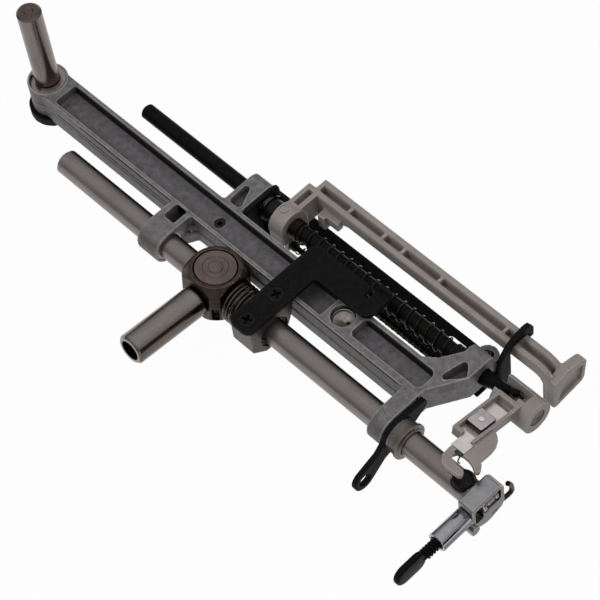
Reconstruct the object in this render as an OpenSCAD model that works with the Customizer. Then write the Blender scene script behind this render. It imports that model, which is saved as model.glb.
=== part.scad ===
// Needle-bar frame unit of a household sewing machine, with its automatic needle threader.
// Millimetres. +X runs down the needle bar, +Z along the pivot pin, +Y towards the threader.
// The origin is on the pivot axis, level with the needle bar's axis.

/* [Layout] */
// Distance from the pivot axis across to the needle bar axis
bar_off = 13.3; // [12.5:0.1:15]
// Distance from the pivot axis across to the threader shaft axis
shaft_off = 13.4; // [13:0.1:15]
// Height of the frame rims above the bar axis
rim_z = 5.3; // [5:0.1:6]
// Depth of the frame below the bar axis
base_z = 4; // [3.6:0.1:4.4]

/* [Clearances] */
// Radial gap of a running or sliding fit
run_gap = 0.03; // [0.02:0.01:0.08]
// Radial gap of a pressed, clamped or glued seat
seat_gap = 0.02; // [0.01:0.01:0.05]
// Gap between pieces that pass each other
pass_gap = 0.4; // [0.3:0.05:0.6]

/* [Pivot] */
// Diameter of the pivot pin
pin_d = 7; // [6:0.1:7.4]
// Height of the pin's top above the bar axis
pin_top = 34.8; // [28:0.1:42]
// Outside diameter of the pivot boss
boss_d = 11.7; // [11.4:0.1:12.6]
// How far the boss stands above the rims
boss_rise = 0.5; // [0.2:0.1:1.5]
// Outside diameter of the pivot bush
bush_d = 10.2; // [9.6:0.1:10.4]
// Depth of the relief cut in the bush's top
bush_cut = 1.2; // [0.6:0.1:2]
// Diameter of the felt washer under the boss
washer_d = 14; // [12.5:0.1:16]
// Thickness of the felt washer
washer_t = 3; // [2:0.1:4]
// Diameter of the clip on the pin's tail
clip_d = 10.5; // [9.5:0.1:12]
// Thickness of that clip
clip_t = 0.8; // [0.5:0.1:1.2]

/* [Frame] */
// Width of the frame arm
arm_w = 10; // [9:0.1:10.6]
// Thickness of the rims at the sides of the channel
rim_t = 1.3; // [1:0.1:1.8]
// Height of the channel's floor above the bar axis
floor_z = 2.1; // [1.5:0.1:3]
// Thickness of that floor
floor_t = 2.3; // [1.6:0.1:2.8]
// Length of the frame from the pivot axis to its lower face
frame_l = 147.5; // [146.5:0.1:150]
// Diameter of the recessed stud in the frame
frame_stud_d = 6.6; // [5:0.1:7]
// Distance of that stud back from the frame's lower face
frame_stud_back = 31; // [29.5:0.1:32.5]
// Diameter of the set screw in the channel floor
set_screw_d = 3; // [2.5:0.1:4]
// Distance of that set screw from the pivot axis
set_screw_x = 69.5; // [30:0.1:90]
// Outside diameter of the two needle bar bosses
bar_boss_d = 10.4; // [9.8:0.1:11]
// Start of the upper bar boss
upper_boss_x = 56.3; // [54:0.1:58]
// Length of the upper bar boss
upper_boss_l = 7.7; // [6:0.1:8.5]
// Length of the lower bar boss
lower_boss_l = 5; // [4:0.1:7]
// Start of the upper lug that carries the threader shaft
lug_x = 66.4; // [65.5:0.1:68]
// Length of that lug
lug_l = 6.5; // [5:0.1:7]
// Outside diameter of the two lug bosses
lug_d = 8.4; // [7.6:0.1:9]

/* [Needle bar] */
// Diameter of the needle bar
bar_d = 7.2; // [6.4:0.1:7.4]
// Upper end of the needle bar
bar_x = 21.3; // [12:0.1:22]
// How far the needle bar's lower end stands out of the frame
bar_out = 30.7; // [29.5:0.1:32]
// Wall of the bushes that guide the bar
bar_bush_t = 0.7; // [0.5:0.1:0.9]
// Length of the lower bush's collar
collar_l = 4.4; // [3.5:0.1:6]
// Diameter of the lower bush's flange
collar_d = 10.8; // [10:0.1:12]
// Diameter of a machine needle's shank
shank_d = 2.05; // [2:0.01:2.1]
// Depth of the needle's seat
shank_l = 16; // [12:0.5:20]

/* [Crank stud] */
// Place of the stud block along the bar
stud_x = 82; // [80:0.1:82.5]
// Width of the stud block
block_w = 14.6; // [13.5:0.1:15.2]
// Top of the stud block above the bar axis
block_top = 7.3; // [6.8:0.1:8]
// Bottom of the stud block below the bar axis
block_base = 5.8; // [5:0.1:6.4]
// Turn of the stud block round the bar
stud_turn = 6; // [0:0.5:8]
// Diameter of the turned face plug
plug_d = 12; // [11:0.1:12.4]
// Outside diameter of the hollow crank stud
stud_d = 8.8; // [8:0.1:9.6]
// Bore of the crank stud
stud_bore = 6; // [4.5:0.1:6.6]
// Length of the crank stud outside the block
stud_l = 23.4; // [18:0.1:28]
// Outside diameter of the short spring on the bar
bar_spring_d = 12; // [11.4:0.1:12.6]
// Wire of that spring
bar_spring_wire = 1; // [0.8:0.05:1.1]

/* [Hook plate] */
// Start of the plate's clamp along the bar
hook_x = 96.3; // [95.5:0.1:97]
// Width of the plate's cross leg
hook_w = 8; // [7:0.1:8.5]
// Height of the plate's underside above the bar axis
hook_z = 6.7; // [6.4:0.1:7.4]
// Thickness of the plate
hook_t = 1.4; // [1:0.1:1.8]
// Distance between the plate's two screws
hook_screws = 10.4; // [10:0.1:11]
// Head diameter of the plate's screws
hook_screw_d = 4.6; // [4:0.1:5]
// Length of the plate's leg along the bar
hook_leg_l = 27; // [24:0.1:30]

/* [Needle clamp] */
// Distance from the needle clamp's upper face to the bar's end
clamp_back = 3.2; // [2.2:0.1:3.7]
// Length of the clamp along the bar
clamp_l = 5; // [4.4:0.1:6]
// Width of the clamp across the bar
clamp_w = 11.4; // [10.8:0.1:12]
// Height of the clamp above and below the bar axis
clamp_h = 4.6; // [4.3:0.1:4.8]
// Diameter of the chrome sleeve
sleeve_d = 5.5; // [4.8:0.1:6]
// Length of the chrome sleeve
sleeve_l = 10.2; // [8:0.1:14]
// Thread diameter of the thumb screw
thumb_d = 3.2; // [2.6:0.1:3.4]
// Length of the bare thread beyond the sleeve
thumb_neck = 4.6; // [3:0.1:6]
// Length of the thumb screw's paddle
paddle_l = 9.6; // [7:0.1:11]
// Width of that paddle
paddle_w = 6.4; // [5.6:0.1:7]

/* [Threader] */
// Diameter of the threader shaft
shaft_d = 4.5; // [4:0.1:4.8]
// Upper end of the threader shaft
shaft_x = 25.2; // [18:0.1:27]
// Length of the cam sleeve above the lever's boss
cam_l = 3.6; // [3.1:0.1:5.6]
// Length of the lever's boss and arm along the shaft
lever_l = 5; // [4:0.1:6]
// Outside diameter of the lever's boss
lever_boss_d = 10; // [9:0.1:10.2]
// Outer side of the lever's rail from the pivot axis
rail_y = 28.4; // [27.8:0.1:30]
// Width of the rail
rail_w = 5.6; // [5:0.1:5.8]
// Top of the rail above the bar axis
rail_top = 4; // [3.6:0.1:4.4]
// Height of the rail
rail_h = 4.3; // [3.8:0.1:5]
// How far the rail's straight run reaches below the frame
rail_out = 14.2; // [12.5:0.1:16.5]
// Outside diameter of the lever's return spring
return_d = 6.4; // [6:0.1:6.8]
// Wire of the return spring
return_wire = 0.7; // [0.6:0.05:0.75]
// Turns of the return spring
return_turns = 23; // [18:1:26]
// Outside diameter of the small spring below the shaft
small_d = 3.2; // [3:0.1:3.4]
// Wire of the small spring
small_wire = 0.4; // [0.35:0.05:0.45]
// Turns of the small spring
small_turns = 34; // [24:1:40]
// Turn of the threader head above level
head_tilt = 12; // [11:0.5:16]
// Distance of the threader head below the frame
head_out = 11.7; // [11.3:0.1:13.5]

/* [Hidden] */
$fn = 64;
eps = 0.01;

bar_y = -bar_off;
half_w = arm_w / 2;
boss_top = rim_z + boss_rise;
lower_boss_x = frame_l - lower_boss_l;
bar_bush_d = bar_d + 2 * (run_gap + bar_bush_t);
lug_end = lug_x + lug_l;
low_lug_x = frame_l - 0.5;
low_lug_end = frame_l + 6;
frame_stud_x = frame_l - frame_stud_back;
bar_end = frame_l + bar_out;
clamp_x = bar_end - clamp_back;
rail_end = frame_l + rail_out;
head_x = frame_l + head_out;
// The washer lies against the boss and the clip sits clear of it, in a groove of the pin
washer_z = -base_z - washer_t;
clip_z = washer_z - pass_gap - clip_t;
pin_tail = 1.4;
groove_d = pin_d - 1.4;
oil_groove = 1;
oil_groove_d = pin_d - 0.6;
chamfer = 0.6;
zz_t = 1.6;
collar_x = frame_l + zz_t + 2 * seat_gap;
// The bracket hangs under the lugs, and the small spring's rod lies just above it
rod_d = 1.5;
rod_z = -(lever_boss_d / 2 + pass_gap + small_d / 2);
rod_y = shaft_off - 1.5;
bracket_z = rod_z - small_d / 2 - pass_gap;
bracket_t = 1;
bracket_y0 = shaft_off - 1.8;
bracket_y1 = shaft_off + 9.8;
bracket_x0 = lug_x - 3;
tab_t = 1.2;
tab_y0 = rod_y - 1.7;
bracket_x1 = low_lug_end - 1.3;
spigot_d = shaft_d + 2.1;
foot_t = 1.6;
slider_x = lug_end + tab_t + pass_gap;
ring_t = 0.9;
lever_x = slider_x + ring_t + cam_l;
rail_y0 = rail_y - rail_w;
rail_x0 = lever_x + 2.6;
rib_x = [for (s = [0.142, 0.298, 0.386, 0.554, 0.841]) rail_x0 + s * (rail_end - rail_x0)];
spring_x0 = lever_x + lever_l;
clamp_y0 = bar_y - clamp_w / 2;
sleeve_x = clamp_x + clamp_l / 2;
plate_top = hook_z + hook_t;
guide_wire_d = 1.4;
// Where the bent guide leaves the clamp
guide_root = [clamp_x + clamp_l - 0.9, bar_y + clamp_w / 2, -clamp_h];
block_x0 = stud_x - block_w / 2;
block_x1 = stud_x + block_w / 2;
block_half = block_w / 2;
hook_cx = hook_x + hook_w / 2;
// Threader head: its sleeve, its tray, and the strip and prongs past the tray's end
head_l = 12.6;
head_d = 9.6;
tray_w = 7.4;
tray_l = 20.4;
tray_back = 2.9;
tray_x0 = head_x + 1.7;
tray_x1 = tray_x0 + tray_w;
tray_z = 0.8;
tray_top = 4;
tray_floor = 1.8;
strip_x = head_x + 5;
strip_w = 4.3;
strip_l = 3.8;
strip_z = tray_floor + 0.8;
prong_t = 1.4;
sheet_t = 0.4;
rivet_w = 4.7;
rivet_l = 5.4;
rivet_top = 4.5;
// Threader shaft's end: a tenon in the head's sleeve, and a bent finger with a ball and a thin tip
tenon_d = 3.2;
finger_x = head_x - 4.4;
finger_end = [head_x + 4.5, shaft_off + 0.8, 2.2];
ball_d = 2.2;
tip_l = 2.6;
tip_d = 0.8;

// Colours as the object shows them
cast_grey = "#6b696b";
steel = "#8a8281";
dark_steel = "#5b5450";
black = "#1a1a1b";
plastic = "#a39b98";
bright = "#d8cccb";
chrome = "#86868a";
bronze = "#7d7368";

// Round bar along X
module along_x(x0, x1, d, y = 0, z = 0) {
    translate([x0, y, z]) rotate([0, 90, 0]) cylinder(h = x1 - x0, d = d);
}

// Round bar along Y
module along_y(y0, y1, d, x = 0, z = 0) {
    translate([x, y0, z]) rotate([-90, 0, 0]) cylinder(h = y1 - y0, d = d);
}

// Round bar along Z
module along_z(z0, z1, d, x = 0, y = 0) {
    translate([x, y, z0]) cylinder(h = z1 - z0, d = d);
}

// Rectangular block between two corners
module block(a, b) {
    translate(a) cube(b - a);
}

// Rectangle with round corners, from one corner to the other
module round_rect(a, b, r) {
    translate([a[0] + r, a[1]]) square([b[0] - a[0] - 2 * r, b[1] - a[1]]);
    translate([a[0], a[1] + r]) square([b[0] - a[0], b[1] - a[1] - 2 * r]);
    for (x = [a[0] + r, b[0] - r], y = [a[1] + r, b[1] - r]) translate([x, y]) circle(r);
}

// Bent wire: one tube of n sides through points; side is a direction square to the bends
module bent_wire(points, d, side, n = 10) {
    last = len(points) - 1;
    rings = [for (i = [0 : last]) let (
        t = points[min(i + 1, last)] - points[max(i - 1, 0)],
        u = side - t * (side * t) / (t * t),
        a = u / norm(u),
        b = cross(t, a) / norm(t))
        for (k = [0 : n - 1]) points[i] + (a * cos(360 * k / n) + b * sin(360 * k / n)) * d / 2];
    sides = [for (i = [0 : last - 1], k = [0 : n - 1], half = [0, 1]) let (
        here = i * n + k, beside = i * n + (k + 1) % n)
        half == 0 ? [here, here + n, beside + n] : [here, beside + n, beside]];
    caps = [for (k = [1 : n - 2], end = [0, 1])
        end == 0 ? [0, k, k + 1] : [last * n, last * n + k + 1, last * n + k]];
    polyhedron(rings, concat(sides, caps));
}

// Plain round bar along X with chamfered ends
module chamfered_bar(x0, x1, d, c, y = 0, z = 0) {
    translate([x0, y, z]) rotate([0, 90, 0]) chamfered_peg(x1 - x0, d, c);
}

// Upright peg with chamfered ends
module chamfered_peg(h, d, c) {
    r = d / 2;
    rotate_extrude() polygon([[0, 0], [r - c, 0], [r, c], [r, h - c], [r - c, h], [0, h]]);
}

// Puts children in the frame of the threader head: the shaft axis, turned up from level
module head_frame() {
    translate([0, shaft_off, 0]) rotate([-head_tilt, 0, 0]) children();
}

// Puts children in the frame of the stud block: the bar axis, turned with the block
module stud_frame() {
    translate([stud_x, bar_y, 0]) rotate([-stud_turn, 0, 0]) children();
}

// Springs: a round wire along a helix, with short straight ends along the axis
coil_sides = 6;
coil_rings = 8;
function unit(v) = v / norm(v);
// Share of the length at a share t of the turns; the end turns are closer by the share tight
function coil_share(t, tight) = t - tight * sin(360 * t) / (2 * PI);
function coil_path(l, r, wire, turns, tight) = let (n = turns * coil_rings) concat(
    [[0, r, 0]],
    [for (i = [0 : n]) let (a = 360 * i / coil_rings, s = coil_share(i / n, tight))
        [wire + (l - 2 * wire) * s, r * cos(a), r * sin(a)]],
    [[l, r * cos(360 * turns), r * sin(360 * turns)]]);
function coil_gap(p, wire) = min([for (i = [0 : len(p) - 1])
    for (j = [i + coil_rings - 2 : min(i + coil_rings + 2, len(p) - 1)]) norm(p[i] - p[j])]) - wire;

module coil(l, r, wire, turns, tight = 0) {
    p = coil_path(l, r, wire, turns, tight);
    n = len(p);
    points = [for (i = [0 : n - 1])
        let (t = unit(p[min(i + 1, n - 1)] - p[max(i - 1, 0)]),
            radial = unit([0, p[i][1], p[i][2]]),
            u = unit(radial - (radial * t) * t),
            v = cross(t, u))
        for (k = [0 : coil_sides - 1])
            p[i] + wire / 2 * (cos(360 * k / coil_sides) * u + sin(360 * k / coil_sides) * v)];
    sides = [for (i = [0 : n - 2], k = [0 : coil_sides - 1])
        let (a = i * coil_sides + k, b = i * coil_sides + (k + 1) % coil_sides)
        each [[a, a + coil_sides, b], [b, a + coil_sides, b + coil_sides]]];
    last = (n - 1) * coil_sides;
    caps = [for (k = [1 : coil_sides - 2])
        each [[0, k, k + 1], [last, last + k + 1, last + k]]];
    echo(least_gap = coil_gap(p, wire));
    polyhedron(points, concat(sides, caps));
}

// Pivot pin: a groove for its clip, and an oil groove where it leaves the bush
module pivot_pin() {
    color(steel) difference() {
        translate([0, 0, clip_z - pin_tail]) chamfered_peg(pin_top - clip_z + pin_tail, pin_d, chamfer);
        ring_cut(clip_z, clip_t, groove_d);
        ring_cut(boss_top - 0.4 * oil_groove, oil_groove, oil_groove_d);
        translate([0, 0, pin_top - 0.3]) cylinder(h = 1, d1 = 2.2, d2 = 4.2);
    }
}

// Groove round the pin from height z, down to the diameter d
module ring_cut(z, h, d) {
    difference() {
        along_z(z, z + h, pin_d + 1);
        along_z(z - 1, z + h + 1, d);
    }
}

module pivot_clip() {
    color(dark_steel) difference() {
        along_z(clip_z + seat_gap, clip_z + clip_t - seat_gap, clip_d);
        along_z(clip_z - 1, clip_z + clip_t + 1, groove_d + 2 * seat_gap);
        block([-groove_d * 0.42, -clip_d, clip_z - 1], [groove_d * 0.42, 0, clip_z + clip_t + 1]);
    }
}

module pivot_bush() {
    color(bronze) difference() {
        along_z(-base_z, boss_top, bush_d);
        along_z(-base_z - 1, boss_top + 1, pin_d + 2 * run_gap);
        translate([0, 0, boss_top - bush_cut]) rotate([0, 0, 205]) block([0, 0, 0], [bush_d, bush_d, bush_d]);
    }
}

module pivot_washer() {
    color(black) difference() {
        along_z(washer_z, -base_z - seat_gap, washer_d);
        along_z(washer_z - 1, 0, pin_d + 2 * pass_gap);
    }
}

// Outline of the frame's foot: the lower bar arm on one side and the threader lug on the other
module foot_outline() {
    polygon([[lower_boss_x - 8, -half_w], [lower_boss_x - 8, half_w], [lower_boss_x - 2.5, half_w],
        [lower_boss_x + 1, half_w + 2.6], [low_lug_x, shaft_off], [low_lug_end, shaft_off],
        [low_lug_end, half_w + 3.2], [frame_l, -2], [frame_l, bar_y], [lower_boss_x, bar_y],
        [lower_boss_x, -half_w]]);
}

// Triangular pocket of a lug, with round corners
module lug_pocket(corners, depth) {
    translate([0, 0, rim_z - depth]) linear_extrude(depth + 1)
        hull() for (c = corners) translate(c) circle(0.9, $fn = 32);
}

// Lug round the threader shaft: flat on top, with a rounded outer end
module shaft_lug(x, l) {
    r = lug_d * 0.31;
    translate([x, 0, 0]) rotate([90, 0, 90]) linear_extrude(l) hull() {
        translate([half_w, -base_z]) square([shaft_off - half_w, base_z + rim_z]);
        translate([shaft_off + lug_d / 2 - r, rim_z - r]) circle(r);
        translate([shaft_off, 0]) circle(d = lug_d);
    }
}

module frame_solid() {
    along_z(-base_z, boss_top, boss_d);
    block([0, -half_w, -base_z], [frame_l - 6, half_w, rim_z]);
    // Upper arm to the needle bar, with a low web beside it
    block([upper_boss_x, bar_y, -base_z], [upper_boss_x + upper_boss_l, 0, rim_z]);
    along_x(upper_boss_x, upper_boss_x + upper_boss_l, bar_boss_d, bar_y);
    translate([upper_boss_x + upper_boss_l, -half_w, -base_z]) linear_extrude(base_z)
        polygon([[-1, 1], [-1, -bar_off + half_w + bar_boss_d / 2], [0.5, -bar_off + half_w + bar_boss_d / 2],
            [2.2, 0], [2.2, 1]]);
    block([upper_boss_x + upper_boss_l - 1, bar_y + bar_boss_d / 2 + 1.4, -base_z],
        [upper_boss_x + upper_boss_l + 1.2, -half_w + 1, 1.4]);
    // Upper lug for the threader shaft
    block([lug_x, 0, -base_z], [lug_end, half_w + 1, rim_z]);
    shaft_lug(lug_x, lug_l);
    // Foot with the lower bar boss, the lower lug and its spring ear, cut back for the bracket's tab
    difference() {
        translate([0, 0, -base_z]) linear_extrude(base_z + rim_z) foot_outline();
        along_x(low_lug_x - tab_t - pass_gap, low_lug_x, lug_d + 2 * seat_gap, shaft_off);
        block([low_lug_x - tab_t - pass_gap, tab_y0 - seat_gap, -base_z - 1], [low_lug_x, shaft_off + 4, 0]);
    }
    along_x(lower_boss_x, frame_l, bar_boss_d, bar_y);
    intersection() {
        shaft_lug(low_lug_x, low_lug_end - low_lug_x);
        block([low_lug_x, half_w + 4, -base_z - 1], [low_lug_end, shaft_off + lug_d, rim_z]);
    }
    along_z(-base_z, 0, 6.4, low_lug_x + 2.6, shaft_off + lug_d / 2 + 1);
    // Spigots that carry the threader bracket
    along_x(lug_x, lug_end + tab_t, spigot_d, shaft_off);
    along_x(low_lug_x - tab_t, low_lug_end, spigot_d, shaft_off);
    // Ledge along the bar side of the arm
    block([boss_d / 2, -half_w - 0.25, -base_z], [lower_boss_x, 0, 0]);
}

module needle_bar_frame() {
    color(cast_grey) difference() {
        frame_solid();
        // Channel in the top, in two lengths, and the hollow underneath
        translate([0, 0, floor_z]) linear_extrude(rim_z) {
            round_rect([boss_d / 2 + 1.6, -half_w + rim_t], [frame_stud_x - 4.6, half_w - rim_t], 0.7);
            round_rect([frame_stud_x + 5, -half_w + rim_t + 1], [frame_l - 1.5, half_w - rim_t], 1.6);
        }
        translate([0, 0, -base_z - 1]) linear_extrude(base_z + 1 + floor_z - floor_t)
            round_rect([boss_d / 2 + 2, -half_w + rim_t + 0.6], [frame_l - 9, half_w - rim_t - 0.6], 1.2);
        // Pockets in the arms and lugs
        translate([0, 0, -1]) linear_extrude(rim_z + 2) round_rect([upper_boss_x + 2,
            bar_y + bar_boss_d / 2 - 1.4], [upper_boss_x + upper_boss_l - 1.8, -half_w + 0.3], 0.5);
        lug_pocket([[lug_x + 2.4, half_w + 1.4], [lug_end - 2.2, half_w + 1.4],
            [lug_x + 2.2, shaft_off - 2.2]], 3);
        lug_pocket([[low_lug_x + 1.6, half_w - 0.4], [low_lug_x + 4.6, half_w + 3],
            [low_lug_x + 2.8, half_w + 5.2]], 4);
        // Bores
        along_z(-base_z - 1, boss_top + 1, bush_d + 2 * seat_gap);
        along_x(upper_boss_x - 1, upper_boss_x + upper_boss_l + 1, bar_bush_d + 2 * seat_gap, bar_y);
        along_x(lower_boss_x - 1, frame_l + 1, bar_bush_d + 2 * seat_gap, bar_y);
        along_x(lug_x - 1, lug_end + tab_t + 1, shaft_d + 2 * run_gap, shaft_off);
        along_x(low_lug_x - tab_t - 1, low_lug_end + 1, shaft_d + 2 * run_gap, shaft_off);
        along_z(-base_z - 1, rim_z + 1, frame_stud_d + 2 * seat_gap, frame_stud_x);
        along_z(-base_z - 1, rim_z + 1, set_screw_d + 2 * seat_gap, set_screw_x);
        along_z(-base_z - 1, 1, 1.8, low_lug_x + 3, shaft_off + lug_d / 2 + 1.8);
    }
}

module frame_stud() {
    color(steel) translate([frame_stud_x, 0, -base_z + 0.6])
        chamfered_peg(base_z + rim_z - 2, frame_stud_d, chamfer);
}

module channel_screw() {
    color(dark_steel) difference() {
        along_z(floor_z - floor_t + 0.2, floor_z - 0.4, set_screw_d, set_screw_x);
        along_z(floor_z - 1.6, floor_z, 1.6, set_screw_x, 0, $fn = 6);
    }
}

// Bushes of the needle bar
module upper_bar_bush() {
    color(bronze) difference() {
        along_x(upper_boss_x + 0.4, upper_boss_x + upper_boss_l - 0.4, bar_bush_d, bar_y);
        along_x(upper_boss_x, upper_boss_x + upper_boss_l, bar_d + 2 * run_gap, bar_y);
    }
}

module lower_bar_bush() {
    color(bronze) difference() {
        union() {
            along_x(lower_boss_x + 0.4, collar_x + collar_l, bar_bush_d, bar_y);
            along_x(collar_x, collar_x + collar_l - 1.4, collar_d - 0.8, bar_y);
            along_x(collar_x + collar_l - 1.4, collar_x + collar_l - 0.5, collar_d, bar_y);
        }
        along_x(lower_boss_x, collar_x + collar_l + 1, bar_d + 2 * run_gap, bar_y);
    }
}

// Plate clamped by the lower bush, with the eye for the zigzag link
zz_eye = [-26, -7.4];
zz_tip = [-4.4, 2.4];
zz_eye_d = 4;
module zigzag_lever() {
    color(black) translate([frame_l + seat_gap, 0, 0]) rotate([90, 0, 90]) linear_extrude(zz_t) difference() {
        union() {
            hull() {
                translate([bar_y, 0]) circle(d = collar_d - 1, $fn = 32);
                translate(zz_tip) circle(1.7, $fn = 32);
            }
            hull() {
                translate([bar_y, 0]) circle(d = collar_d - 2.6, $fn = 32);
                translate((zz_eye + [bar_y, 0]) / 2) circle(2.3, $fn = 32);
            }
            hull() {
                translate((zz_eye + [bar_y, 0]) / 2) circle(2.3, $fn = 32);
                translate(zz_eye) circle(3.5, $fn = 32);
            }
        }
        translate([bar_y, 0]) circle(d = bar_bush_d + 2 * seat_gap);
        translate(zz_eye) circle(d = zz_eye_d);
    }
}

// Sheet bracket of the threader. Its two tabs are staked on to the lugs' spigots, and its lower end
// turns up into a guide that hooks over the lever's rail.
module threader_bracket() {
    guide_x = low_lug_end + seat_gap;
    guide_y = shaft_off + lug_d / 2;
    guide_t = 1.5;
    tabs = [lug_end + seat_gap, low_lug_x - tab_t];
    color(black) difference() {
        union() {
            translate([0, 0, bracket_z - bracket_t]) linear_extrude(bracket_t) difference() {
                union() {
                    round_rect([bracket_x0, bracket_y0 - 1], [bracket_x1 - 4, bracket_y1], 2.8);
                    translate([bracket_x1 - 8, bracket_y0]) square([8, bracket_y1 - bracket_y0]);
                }
                // The inner side is cut back beside the lever's boss
                polygon([[slider_x + 2, bracket_y0 - 2], [slider_x + 2, shaft_off + 1.6],
                    [spring_x0 + 8, shaft_off + 1.6], [spring_x0 + 26, bracket_y0], [bracket_x1 - 7, bracket_y0],
                    [bracket_x1 - 7, bracket_y0 - 2]]);
            }
            block([bracket_x1 - 1, guide_y, bracket_z - bracket_t], [guide_x + guide_t, guide_y + 4, bracket_z]);
            for (x = tabs) {
                along_x(x, x + tab_t - seat_gap, lug_d, shaft_off);
                block([x, tab_y0, bracket_z - 0.5], [x + tab_t - seat_gap, shaft_off + 3.4, 0]);
            }
            // The upper tab covers the whole end of its lug
            translate([tabs[0], 0, 0]) rotate([90, 0, 90]) linear_extrude(tab_t - seat_gap)
                round_rect([half_w + 0.8, bracket_z - 0.5], [shaft_off + 4.8, rim_z - 0.2], 1.8);
            translate([guide_x, 0, 0]) rotate([90, 0, 90]) linear_extrude(guide_t) polygon([
                [guide_y, bracket_z - bracket_t], [guide_y + 4, bracket_z - bracket_t],
                [guide_y + 4.2, rail_top - 1.4], [rail_y0 - pass_gap, rail_top - 0.8],
                [rail_y0 - pass_gap, rail_top + pass_gap], [rail_y + pass_gap, rail_top + pass_gap],
                [rail_y + pass_gap, rail_top - 2.2], [rail_y + 1.9, rail_top - 2.2],
                [rail_y + 2.1, rail_top + 1.2], [rail_y + 0.8, rail_top + 3.4], [rail_y - 0.8, rail_top + 3.8],
                [rail_y0 + 1, rail_top + 3.2], [guide_y + 3.6, rail_top + 2], [guide_y + 1.6, rail_top],
                [guide_y + 0.2, rail_top - 2.2]]);
        }
        translate([0, 0, bracket_z - bracket_t - 1]) linear_extrude(bracket_t + 2)
            round_rect([low_lug_x - 13, shaft_off + 4], [low_lug_x - 6.6, shaft_off + 7.4], 1);
        along_x(lug_end - 1, low_lug_x + 1, rod_d + 2 * seat_gap, rod_y, rod_z);
        for (x = tabs) along_x(x - 1, x + tab_t + 1, spigot_d + 2 * seat_gap, shaft_off);
    }
}

module spring_rod() {
    color(steel) along_x(lug_end + 2 * seat_gap, low_lug_x + 0.6, rod_d, rod_y, rod_z);
}

// Needle bar and what is clamped to it
module needle_bar() {
    color(steel) difference() {
        chamfered_bar(bar_x, bar_end, bar_d, chamfer, bar_y);
        along_x(bar_end - shank_l, bar_end + 1, shank_d, bar_y);
    }
}

module stud_block() {
    slope = 2.4;
    round_r = block_half + 1.7;
    color(dark_steel) stud_frame() difference() {
        intersection() {
            block([-block_half, -block_half, -block_base], [block_half, block_half, block_top]);
            rotate_extrude() polygon([[0, -block_base], [round_r - 1.4, -block_base],
                [round_r, -block_base + 1.8], [round_r, block_top - slope], [round_r - slope + 0.4, block_top],
                [0, block_top]]);
        }
        along_x(-block_w, block_w, bar_d + 2 * seat_gap);
        // Seats of the turned plug, the crank stud and the set screw
        along_z(block_top - 2, block_top + 1, plug_d + 2 * seat_gap);
        along_y(-block_w, -bar_d / 2 - 1.2, stud_d - 1.6 + 2 * seat_gap);
        along_z(-block_base - 1, 0, 3 + 2 * seat_gap);
        // Clamping slit in the corner
        rotate([0, 0, 45]) block([-1, -block_w, -block_base + 0.7], [1, -round_r + 2.4, 0.8]);
    }
}

module stud_plug() {
    groove = 0.25;
    color(dark_steel) stud_frame() difference() {
        along_z(block_top - 2 + seat_gap, block_top - 0.1, plug_d);
        for (r = [plug_d * 0.22, plug_d * 0.34]) translate([0, 0, block_top - 0.1])
            rotate_extrude() translate([r, 0]) circle(groove, $fn = 16);
    }
}

module stud_pin() {
    out = block_half + stud_l;
    color(steel) stud_frame() difference() {
        union() {
            translate([0, -block_half - seat_gap, 0]) rotate([90, 0, 0])
                chamfered_peg(stud_l - seat_gap, stud_d, chamfer);
            along_y(-block_half - 1, -bar_d / 2 - 1.2 - seat_gap, stud_d - 1.6);
        }
        along_y(-out - 1, -block_half + 0.5, stud_bore);
    }
}

module stud_set_screw() {
    color(dark_steel) stud_frame() difference() {
        along_z(-block_base + 0.3, -bar_d / 2 - seat_gap, 3);
        along_z(-block_base, -block_base + 1.3, 1.6, $fn = 6);
    }
}

module bar_spring() {
    l = hook_x - block_x1 - 2 * seat_gap;
    turns = min(2.75, floor(4 * (l - 2 * bar_spring_wire) / (bar_spring_wire + 0.6)) / 4);
    color(dark_steel) translate([block_x1 + seat_gap, bar_y, 0])
        coil(l, (bar_spring_d - bar_spring_wire) / 2, bar_spring_wire, turns);
}

module plate_clamp() {
    wide = hook_screws / 2 + 2.6;
    base = 5;
    color(steel) difference() {
        translate([hook_x, bar_y, 0]) rotate([90, 0, 90]) linear_extrude(hook_w - 0.2) polygon([
            [-wide, hook_z], [-wide, -base + 3.4], [-wide + 4, -base], [-bar_d / 2 + 1, -base - 0.4],
            [bar_d / 2 + 0.4, -base + 1.2], [bar_d / 2 + 2.2, 0], [wide - 1.2, 2.4], [wide, hook_z]]);
        along_x(hook_x - 1, hook_x + hook_w + 1, bar_d + 2 * seat_gap, bar_y);
        along_x(hook_x + hook_w - 1.6, hook_x + hook_w + 1, bar_d + 2.4, bar_y);
        for (s = [-1, 1]) along_z(hook_z - 3.2, hook_z + 1, 2 + 2 * seat_gap, hook_cx, bar_y + s * hook_screws / 2);
    }
}

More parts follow.
